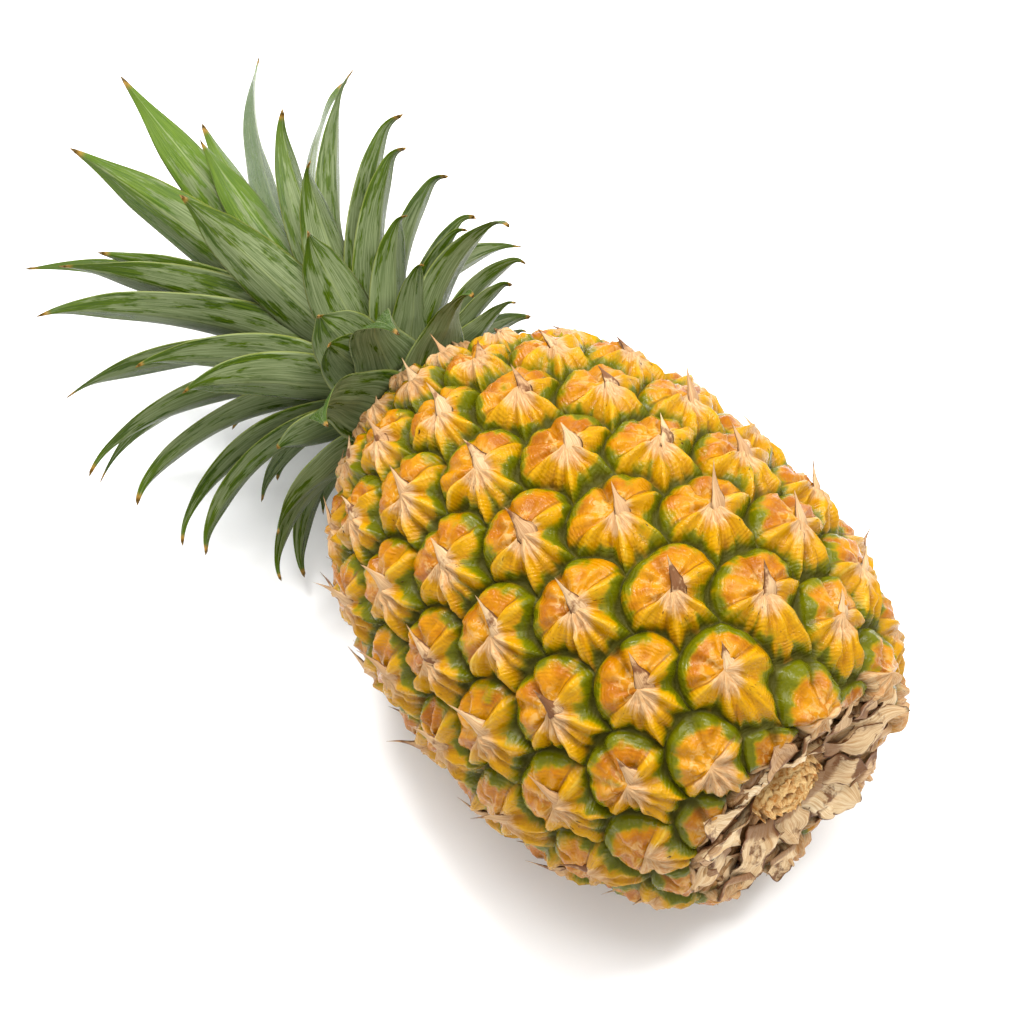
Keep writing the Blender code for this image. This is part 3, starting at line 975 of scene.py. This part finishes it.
    def roughened(self):
        """Fibres on the fans, wrinkles, grain and fine ribs round the hub, as bumps."""
        fibres = self.fine_streaks * 0.25 + self.streaks * 0.6
        rough = fibres * self.cushion.step(1, 0, 0.25, 1)
        rough = rough + self.wrinkles * 0.75 + self.grain * 0.3
        ribs = self.math("SINE", self.reach * 62 + self.blotches * 14)
        rough = rough + ribs * self.share.step(0.45, 0.75, 0, 0.07)
        self.bump(rough, 0.8 * MM, 0.6)


def skin_material():
    """Orange-yellow cushions, fibrous bract fans, olive rims, and painted shade in the seams."""
    skin = SkinShade()
    paper = skin.papery()
    # Mask of the valley bottoms, which get painted shade in the colour and more roughness.
    valley_shade = skin.height.step(-0.22, -0.6)
    colour = skin.greened(skin.ripe())
    colour = skin.hemmed_and_shaded(skin.dried(colour, paper), valley_shade)
    skin.roughened()
    roughness = paper * 0.35 + skin.grain.step(0.3, 0.7, 0.12, 0.22)
    roughness = roughness + skin.math("MAXIMUM", valley_shade, skin.dry) * 0.5
    return skin.finish(colour, roughness, 0.16)


# ---- sheets

def ring_across(count, power=1):
    """Places across a strip, out along its upper side and back below, and which side.

    The side is 1 above, -1 below and 0 at the edges. A power below 1 bunches the places
    near the edges.
    """
    across = np.linspace(-1, 1, count + 1)
    across = np.sign(across) * np.abs(across) ** power
    ring = np.concatenate([across, across[-2:0:-1]])
    side = np.concatenate([np.ones(count + 1), -np.ones(count - 1)])
    side[0] = side[count] = 0
    return ring, side


def centre_line(x, radius, turned, step, way):
    """Places (x, radius) along a line with the given turn from the axis at each station.

    The way is 1 for a line that sets out towards +X, and -1 towards -X.
    """
    middle = 0.5 * (turned[1:] + turned[:-1])
    run = np.concatenate([[0], np.cumsum(np.cos(middle))]) * step
    rise = np.concatenate([[0], np.cumsum(np.sin(middle))]) * step
    return x + way * run, radius + rise


def bent_sheet(x, radius, turned, way, lift, angle):
    """Points of a sheet that follows a centre line, raised by lift along its normal."""
    bend = turned[:, None]
    return axial_points(x[:, None] - way * lift * np.sin(bend),
                        radius[:, None] + lift * np.cos(bend), angle)


# ---- dry tips of the bracts

def eye_axes(number):
    """An eye's hub, and the directions towards the stalk, round the fruit and outwards."""
    climb, angle = eye_climb(number), EYE_FIRST_ANGLE + number * EYE_DIVERGENCE
    small = 1e-4
    hub = BARREL.points(climb, angle, 0)
    stalkward = BARREL.points(climb - small, angle, 0) - hub
    around = BARREL.points(climb, angle + small, 0) - hub
    outward = BARREL.points(climb, angle, small) - hub
    return hub, [way / np.linalg.norm(way) for way in (stalkward, around, outward)]


def build_bract_tips(material):
    """The papery point of every eye's bract, but for the driest eyes and those in the neck."""
    surface = Surface()
    for number in range(EYE_AT_CROWN, EYE_AT_BASE + 1):
        climb = eye_climb(number)
        base = smoothstep((TIP_BASE_SHARE - place_along(climb)) / TIP_BASE_SHARE)
        if climb <= BARREL.climb[-1] and base <= TIP_BASE_LIMIT:
            add_bract_tip(surface, number, base)
    tips = surface.make("bract_tips", material)
    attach(tips, "root")


def add_bract_tip(surface, number, base):
    """A point that rises from its eye's hub and lies over the cushion or lifts off.

    base is how far the eye has turned to the stalk end, where tips are short and wide.
    """
    chance = np.random.default_rng(number + 1700)
    hub, (stalkward, around, outward) = eye_axes(number)
    climb = eye_climb(number)
    size = girth_share(climb)
    ring, side = ring_across(TIP_ACROSS)
    part = np.linspace(0, 1, TIP_STATIONS + 1)
    length = (TIP_START_MM + TIP_LENGTH_MM * chance.uniform(0.7, 1.3) - 2 * base) * size
    width = TIP_WIDTH_MM * size * chance.uniform(0.85, 1.15) * (1 + 0.7 * base)
    yaw = TIP_YAW + radians(chance.uniform(-12, 12))
    yaw = yaw + radians(chance.uniform(-25, 25)) * part**2
    lift = TIP_LIFT_MM * chance.uniform(0.2, 1) ** 2 * (1 - 0.8 * base)
    run = TIP_START_MM * size - length * part
    drift = np.cumsum(np.sin(yaw)) * length / TIP_STATIONS
    height = 0.4 + 2.6 * smoothstep(part / 0.4) + lift * part**2.6
    height = height * relief_scale(climb) - 2 * base
    half = 0.5 * width * (0.78 * (1 - part) ** 2 + 0.22 * (1 - part) ** 0.7)
    half *= 1 + 0.16 * np.sin(part * 17 + chance.uniform(0, 6)) * part
    half *= 0.3 + 0.7 * smoothstep(part / 0.4)
    arch = -half[:, None] * ring**2 * chance.uniform(0.3, 0.7)
    thick = 0.5 * TIP_THICKNESS_MM * (1 - 0.7 * part[:, None]) * side
    u = run[:, None] + 0 * ring
    v = drift[:, None] + half[:, None] * ring
    w = height[:, None] + arch + thick
    points = hub + MM * (u[..., None] * stalkward + v[..., None] * around + w[..., None] * outward)
    # The third number is the paleness, which the paper material also paints lighter towards 1.
    value = corner_values(ring[None], 0.45 + 0.55 * part[:, None], chance.uniform(0.25, 0.6))
    surface.add_tube(points, 1, value)


def paper_material():
    """Dry bract: cream to brown fibres, darker at the edges, the root and stains."""
    shade = Shade("dry_paper")
    across, part, chosen = shade.parts("leaf")
    grain = shade.join(across * 6, part * 0.8, chosen * 60)
    fibres = shade.noise(grain, 2.4, 4, 0.7)
    stains = shade.noise(shade.place(), 110, 5, 0.65)
    # chosen: brown to cream; towards 1 also painted lighter against the shade round the stalk.
    dark = shade.mix(chosen, seen(140, 80, 34), seen(228, 178, 114, 1.25))
    light = shade.mix(chosen, seen(218, 152, 82), seen(255, 236, 194, 1.45))
    colour = shade.mix(fibres.step(0.28, 0.72), dark, light)
    stain = stains + abs(across).step(0.75, 1, 0, 0.14) + part * 0.1
    colour = shade.mix(stain.step(0.59, 0.69, 0, 0.9), colour, seen(122, 66, 20))
    root = part.step(0.45, 0) + (stains - 0.5) * 1.6
    colour = shade.mix(root.step(0.35, 0.75, 0, 0.75), colour, seen(142, 86, 38))
    shade.bump(fibres, 0.3 * MM, 0.4)
    return shade.finish(colour, 0.62, 0.2)


# ---- stalk end

def add_flap(surface, angle, start, radius, lean, curl, length, width, crumple, seed, pale):
    """A torn, wavy sheet of dry bract that leans out from the axis and curls back."""
    chance = np.random.default_rng(seed)
    part = np.linspace(0, 1, FLAP_STATIONS + 1)
    turned = lean + curl * length * part
    x, radii = centre_line(start, radius, turned, length / FLAP_STATIONS, 1)
    half = 0.5 * width * (1 - part) * (FLAP_ROOT_WIDTH + FLAP_BELLY * part)
    tear = np.sin(part * chance.uniform(9, 14) + chance.uniform(0, 6))
    ring, side = ring_across(FLAP_ACROSS)
    left, right = 1 + FLAP_TEAR * tear, 1 - FLAP_TEAR * np.roll(tear, 3)
    reach = np.where(ring[None] < 0, left[:, None], right[:, None]) * half[:, None] * ring
    flat = corner_values(part[:, None] * length, reach, seed * 0.01)
    waves = Ripples(seed + 1, 15 * MM).at(flat) + 0.3 * Ripples(seed + 2, 6 * MM).at(flat)
    cup = chance.uniform(-1.5, 2.5) * ring**2 * part[:, None]
    thick = 0.5 * FLAP_THICKNESS_MM * side * (1 - 0.6 * ring**2)
    lift = MM * (waves * crumple * smoothstep(part / 0.3)[:, None] + cup + thick)
    points = bent_sheet(x, radii, turned, 1, lift, angle + reach / radii[:, None])
    # pale is brown to cream, and towards 1 also painted lighter against the shade round the stalk.
    value = corner_values(ring[None], part[:, None], chance.uniform(*pale))
    surface.add_tube(points, -1, value)


def build_base_bracts(material):
    """The bracts round the cut stalk that the CAD part has."""
    for i, (angle, length, width) in enumerate(BASE_BRACTS):
        surface = Surface()
        add_flap(surface, radians(angle), FRUIT_LENGTH / 2 - 2.2 * MM, 14.5 * MM, radians(62),
                 radians(1) / MM, length * MM, width * MM, 1.2, 60 + i, BASE_BRACT_PALENESS_AND_SHADE_FILL)
        bract = surface.make(f"stalk_bract_{i + 1:02d}", material)
        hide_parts(f"base_bract_{i + 1:02d}")
        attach(bract, "root")


def build_torn_bracts(material):
    """The further rings of smaller torn bracts round the stalk."""
    surface = Surface()
    for k, ring in enumerate(FLAP_RINGS):
        count, first, beyond, radius, lean, curl, length, width, crumple = ring
        chance = np.random.default_rng(k + 70)
        for i in range(count):
            angle = radians(first + 360 * i / count + chance.uniform(-8, 8))
            size = chance.uniform(0.75, 1.25)
            start = FRUIT_LENGTH / 2 + (beyond + chance.uniform(-0.5, 0.5)) * MM
            tilt = radians(lean + chance.uniform(-14, 14))
            add_flap(surface, angle, start, radius * MM, tilt, radians(curl) / MM,
                     length * size * MM, width * chance.uniform(0.8, 1.15) * MM, crumple,
                     100 * (k + 2) + i, FLAP_PALENESS_AND_SHADE_FILL[k])
    flaps = surface.make("torn_bracts", material)
    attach(flaps, "root")


def build_stalk(material):
    """The cut stalk: fibrous rings with a ragged edge and a hollowed middle."""
    end = FRUIT_LENGTH / 2
    angle = np.arange(STALK_SIDES) * 2 * pi / STALK_SIDES
    share = np.linspace(0, 1, STALK_RINGS)[1:]
    rough, fine = Ripples(41, 4 * MM), Ripples(42, 1.3 * MM)
    outline = 1 + 0.05 * np.sin(3 * angle + 1) + 0.03 * np.sin(7 * angle)
    flat = axial_points(end, STALK_RADIUS_MM * MM * share[:, None] * outline, angle)
    ridge = STALK_RIDGE_MM * np.sin(share * STALK_RIDGE_TURN)
    ridge = (ridge - STALK_HOLLOW_MM * hill(share, 0.16))[:, None]
    ragged = 0.66 * smoothstep((share - 0.75) / 0.2)[:, None] * fine.at(flat * (1, 2, 2))
    flat[..., 0] += (ridge + ragged + 0.35 * rough.at(flat) + 0.18 * fine.at(flat)) * MM
    wall = flat[-1][None] + np.array(STALK_WALL_MM)[:, None, None] * MM * (1, 0, 0)
    surface = Surface()
    middle = surface.add_points(np.array([[end + STALK_MIDDLE_MM * MM, 0, 0]]))
    numbers = surface.add_points(np.concatenate([flat, wall]))
    out = np.concatenate([share, [1.05, 1.1, 1.15]])
    value = corner_values(out[:, None], 0, np.zeros(STALK_SIDES))
    surface.add_fan(middle[0], numbers[0], -1, leaf=(np.zeros(3), np.zeros((STALK_SIDES, 3))))
    surface.add_bands(numbers, 1, leaf=value)
    surface.add_cap(numbers[-1], -1, leaf=value[-1])
    stalk = surface.make("stalk_end", material)
    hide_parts("cut_stem")
    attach(stalk, "root")


def stalk_material():
    """Golden fibre in rings, browner in the middle and in the grooves."""
    shade = Shade("cut_stalk")
    out, _, _ = shade.parts("leaf")
    fibres = shade.noise(shade.place(), 420, 4, 0.7, 1.2)
    rings = shade.noise(shade.join(out * 9, 0, 0), 2.2, 2)
    mixed = (fibres * 0.7 + rings * 0.4).step(0.42, 0.66)
    # Both pigments painted lighter (1.3 and 1.5) to make up for the shade on the stalk end.
    colour = shade.mix(mixed, seen(214, 140, 56, 1.3), seen(255, 218, 150, 1.5))
    groove = shade.math("SINE", out * STALK_RIDGE_TURN).step(0.1, -0.8, 0, 0.75)
    colour = shade.mix(groove, colour, seen(144, 82, 26))
    colour = shade.mix(out.step(0.28, 0.08), colour, seen(150, 88, 26))
    shade.bump(fibres, 1 * MM, 0.9)
    return shade.finish(colour, 0.75, 0.2)


# ---- crown

def leaf_root(level):
    """Where a leaf of this level leaves the stem: height above the fruit and radius."""
    height = LOWEST_LEAF_HEIGHT + CROWN_STEM_LENGTH * level
    return height, between(LEAF_ROOT_INNER, LEAF_ROOT_OUTER, 1 - level)


def leaf_line(level, length, hook, part):
    """A leaf's middle line at the given parts of its length: x, radius and turn."""
    height, root_radius = leaf_root(level)
    lean = LEAF_LEAN + LEAF_LEAN_MORE * (1 - level)
    curl = LEAF_CURL + LEAF_CURL_MORE * (1 - level) ** LEAF_CURL_POWER
    even = np.linspace(0, 1, LEAF_LINE_STEPS + 1)
    turned = lean + curl * even * length + hook * smoothstep((even - HOOK_START) / HOOK_RUN)
    start = -FRUIT_LENGTH / 2 - height
    xs, radii = centre_line(start, root_radius, turned, length / LEAF_LINE_STEPS, -1)
    return [np.interp(part, even, along) for along in (xs, radii, turned)]


def leaf_section(level, width, part, free):
    """A leaf's half width and half thickness: clasping at its root, a thick spine at its end."""
    _, root_radius = leaf_root(level)
    root = max(LEAF_CLASP * root_radius, 0.5 * LEAF_ROOT_WIDTH * width)
    taper = (1 - part) ** LEAF_TAPER_POWER * (1 + LEAF_BELLY * part)
    taper = taper * (1 - LEAF_SPINE * smoothstep((part - 0.72) / 0.26))
    thickness = between(LEAF_ROOT_THICKNESS, LEAF_THICKNESS, free)
    swell = 1 + LEAF_SPINE_SWELL * smoothstep((part - 0.75) / 0.2)
    half_thickness = 0.5 * thickness * swell * (1 - part) ** 0.3
    return taper * between(root, 0.5 * width, free), half_thickness


def build_leaf(name, level, angle, length, width, material, hook):
    """One crown leaf; lower leaves lean out and curl back more than inner ones."""
    chance = np.random.default_rng(int(level * 5100) + 7)
    part = np.linspace(0, 1, LEAF_STATIONS + 1) ** 0.9
    part[-1] = 1
    free = smoothstep(part * length / LEAF_ROOT_LENGTH)
    x, radius, turned = leaf_line(level, length, hook, part)
    half_width, half_thickness = leaf_section(level, width, part, free)
    wrap = LEAF_WRAP_LIMIT * np.tanh(half_width / radius / LEAF_WRAP_LIMIT)
    ring, side = ring_across(LEAF_ACROSS, 0.85)
    keel = LEAF_KEEL * free * np.minimum(half_width / LEAF_KEEL_WIDTH, 1)
    starts = chance.uniform(0, 2 * pi, 2)
    ripple = LEAF_RIPPLE * free * np.sin(starts[0] + part * length / LEAF_RIPPLE_LENGTH)
    wave = LEAF_WAVE * free * np.sin(starts[1] + part * length / LEAF_WAVE_LENGTH)
    lift = (side * half_thickness[:, None] * (1 - ring**2)
            + keel[:, None] * (1 - np.abs(ring)) ** 1.25
            + ripple[:, None] * ring**2 * np.sign(ring) + wave[:, None] * np.abs(ring))
    points = bent_sheet(x, radius, turned, -1, lift, angle + ring * wrap[:, None])
    face = np.where(side < 0, -1, 1)
    layers = {
        "leaf": corner_values(ring[None], part[:, None], chance.uniform(0, 1)),
        "kind": corner_values(level, length, face[None] + 0 * part[:, None]),
    }
    surface = Surface()
    numbers = surface.add_points(points[:-1])
    middle = LEAF_ACROSS // 2
    tip = surface.add_points(points[-1, middle][None])[0]
    surface.add_bands(numbers, 1, **layers)
    ends = {key: (value[-1, middle], value[-2]) for key, value in layers.items()}
    surface.add_fan(tip, numbers[-1], -1, **ends)
    surface.add_cap(numbers[0], -1, **{key: value[0] for key, value in layers.items()})
    leaf = surface.make(name, material)
    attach(leaf, "root")
    return leaf


def leaf_material():
    """Grey bloom over green, with rubbed streaks, fine lines, pale margins and brown tips."""
    shade = Shade("crown_leaf")
    across, part, chosen = shade.parts("leaf")
    level, length, face = shade.parts("kind")
    edge = abs(across)
    run = part * (length * 1000)
    streak = chosen * 50
    lines = shade.noise(shade.join(across * 14, run * 0.035, streak), 1.9, 4, 0.6)
    fine = shade.noise(shade.join(across * 30, run * 0.06, streak), 2.6, 3, 0.6)
    rub = shade.noise(shade.join(across * 3.2, run * 0.06, chosen * 90), 1.3, 4, 0.65)
    inner = level.step(0.78, 0.97)
    lined = lines.step(0.3, 0.7)

    green = shade.mix(lined, seen(50, 78, 2), seen(104, 130, 14))
    fresh = shade.mix(lined, seen(78, 116, 12), seen(130, 158, 50))
    green = shade.mix(inner, green, fresh)
    green = shade.mix(face.step(0, -1, 0, 0.6), green, seen(58, 92, 16))
    bloom = shade.mix(lined, seen(112, 130, 74), seen(172, 184, 134))
    rubbed = rub + part.step(0.5, 1) * 0.16 + inner * 0.1 + edge.step(0.5, 0.95, 0, 0.06)
    cover = rubbed.step(0.64, 0.52) * face.step(-1, 0.2, 0.3, 1)
    colour = shade.mix(cover * 0.86, green, bloom)
    tip = (part + lines * 0.03).step(0.955, 0.985, 0, 0.85)
    for amount, pigment in (
        (fine.step(0.62, 0.72, 0, 0.5), seen(62, 84, 18)),
        (edge.step(0.05, 0, 0, 0.6), seen(176, 188, 124)),
        (edge.step(0.93, 0.99, 0, 0.8), seen(168, 176, 84)),
        (tip, seen(206, 152, 66)),
    ):
        colour = shade.mix(amount, colour, pigment)
    shade.bump(lines + fine * 0.4, 0.25 * MM, 0.6)
    return shade.finish(colour, cover.step(0, 1, 0.26, 0.55), 0.18)


def build_crown_stem(material):
    """The crown's stem, ringed with the scars of its leaves."""
    place = np.linspace(0, 1, STEM_RINGS)
    angle = np.arange(STEM_SIDES) * 2 * pi / STEM_SIDES
    height, radius = leaf_root(place)
    scars = STEM_SCAR * np.sin(place * 2 * pi * STEM_SCARS)
    x = -FRUIT_LENGTH / 2 - STEM_GAP - (height - height[0])
    points = axial_points(x[:, None], (radius - STEM_SKIN + scars)[:, None], angle)
    points += STEM_LUMP * Ripples(51, 5 * MM).at(points)[..., None] * (0, 1, 1)
    surface = Surface()
    surface.add_tube(points, 1, corner_values(np.sin(angle)[None], place[:, None], 0.5))
    stem = surface.make("crown_heart", material)
    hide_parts("crown_stem")
    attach(stem, "root")


def pith_material():
    """Pale green-white flesh, streaked along the stem."""
    shade = Shade("crown_pith")
    streaks = shade.noise(shade.join(*shade.parts("leaf")), 9, 3, 0.6)
    specks = shade.noise(shade.place(), 500, 3)
    mixed = (streaks * 0.6 + specks * 0.4).step(0.4, 0.6)
    colour = shade.mix(mixed, seen(196, 196, 134), seen(232, 230, 186))
    shade.bump(specks, 0.4 * MM, 0.6)
    return shade.finish(colour, 0.6, 0.2)


def build_crown(material):
    """All crown leaves, evenly spaced in level from the lowest to the innermost."""
    last = len(CROWN_LEAVES) - 1
    for i, (angle, length, width) in enumerate(CROWN_LEAVES):
        node = f"crown_leaf_{i + 1:02d}"
        far = HOOK_FAR_ANGLES[0] < angle < HOOK_FAR_ANGLES[1]
        hook = (HOOK_FAR if far else HOOK_NEAR) * min(1, HOOK_FADE * (1 - i / last))
        leaf = build_leaf(f"leaf_{i + 1:02d}", i / last, radians(angle), length * MM,
                          width * MM, material, hook)
        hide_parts(node)
    for i in range(BACK_LEAVES):
        level = BACK_LEVEL * (i + 0.5) / BACK_LEAVES
        angle = BACK_START + (i * BACK_STEP) % BACK_SPREAD
        build_leaf(f"leaf_{last + 2 + i:02d}", level, radians(angle),
                   between(*BACK_LENGTH_MM, level) * MM, between(*BACK_WIDTH_MM, level) * MM,
                   material, HOOK_NEAR)


# ---- floor, light and camera

def build_floor():
    """A plain pale floor, large enough to fill the picture."""
    mesh = bpy.data.meshes.new("floor")
    square = ((-1, -1), (1, -1), (1, 1), (-1, 1))
    corners = [(x * FLOOR_HALF, y * FLOOR_HALF, 0) for x, y in square]
    mesh.from_pydata(corners, [], [(0, 1, 2, 3)])
    mesh.materials.append(Shade("floor").finish(FLOOR_COLOUR, 0.7, 0.2))
    floor = linked("floor", mesh)
    floor.location.z = -FLOOR_DROP


def add_light(name, place, size, power):
    """A soft square light."""
    light = bpy.data.lights.new(name, "AREA")
    light.size = size
    light.energy = power
    thing = linked(name, light)
    thing.location = place
    thing.rotation_euler = (Vector(place) - LIGHT_AIM).to_track_quat("Z", "Y").to_euler()


def build_light():
    """Soft light from all round, a broad lamp above, and a smaller one on either side."""
    world = bpy.data.worlds.new("studio")
    world.use_nodes = True
    background = world.node_tree.nodes["Background"]
    background.inputs["Color"].default_value = (1, 1, 1, 1)
    background.inputs["Strength"].default_value = SKY_STRENGTH
    bpy.context.scene.world = world
    for lamp in LAMPS:
        add_light(*lamp)


def build_camera():
    """A long lens above the fruit, on the stalk's side, with its axis off the middle."""
    e, b = CAMERA_ELEVATION, CAMERA_BEARING
    back = Vector((cos(e) * cos(b), -cos(e) * sin(b), sin(e)))
    right = Vector((0, 0, 1)).cross(back).normalized()
    up = back.cross(right)
    turn = Matrix.Rotation(CAMERA_ROLL, 3, back)
    right, up = turn @ right, turn @ up
    ahead = -CAMERA_ASIDE * right + CAMERA_UP * up - back
    away = -ahead.normalized()
    side = up.cross(away).normalized()
    camera = bpy.data.cameras.new("camera")
    camera.lens = CAMERA_LENS
    camera.sensor_width = CAMERA_SENSOR
    camera.clip_start, camera.clip_end = CAMERA_CLIP
    matrix = Matrix((side, away.cross(side), away)).transposed().to_4x4()
    matrix.translation = back * CAMERA_DISTANCE
    thing = linked("camera", camera)
    thing.matrix_world = LYING @ matrix
    bpy.context.scene.camera = thing


def main():
    """Build every piece, then the stage round them."""
    skin = build_skin(skin_material())
    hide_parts("fruit")
    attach(skin, "root")
    paper = paper_material()
    build_bract_tips(paper)
    build_base_bracts(paper)
    build_torn_bracts(paper)
    build_stalk(stalk_material())
    build_crown_stem(pith_material())
    build_crown(leaf_material())
    build_floor()
    build_light()
    build_camera()
    bpy.context.scene.view_settings.view_transform = "Standard"


main()
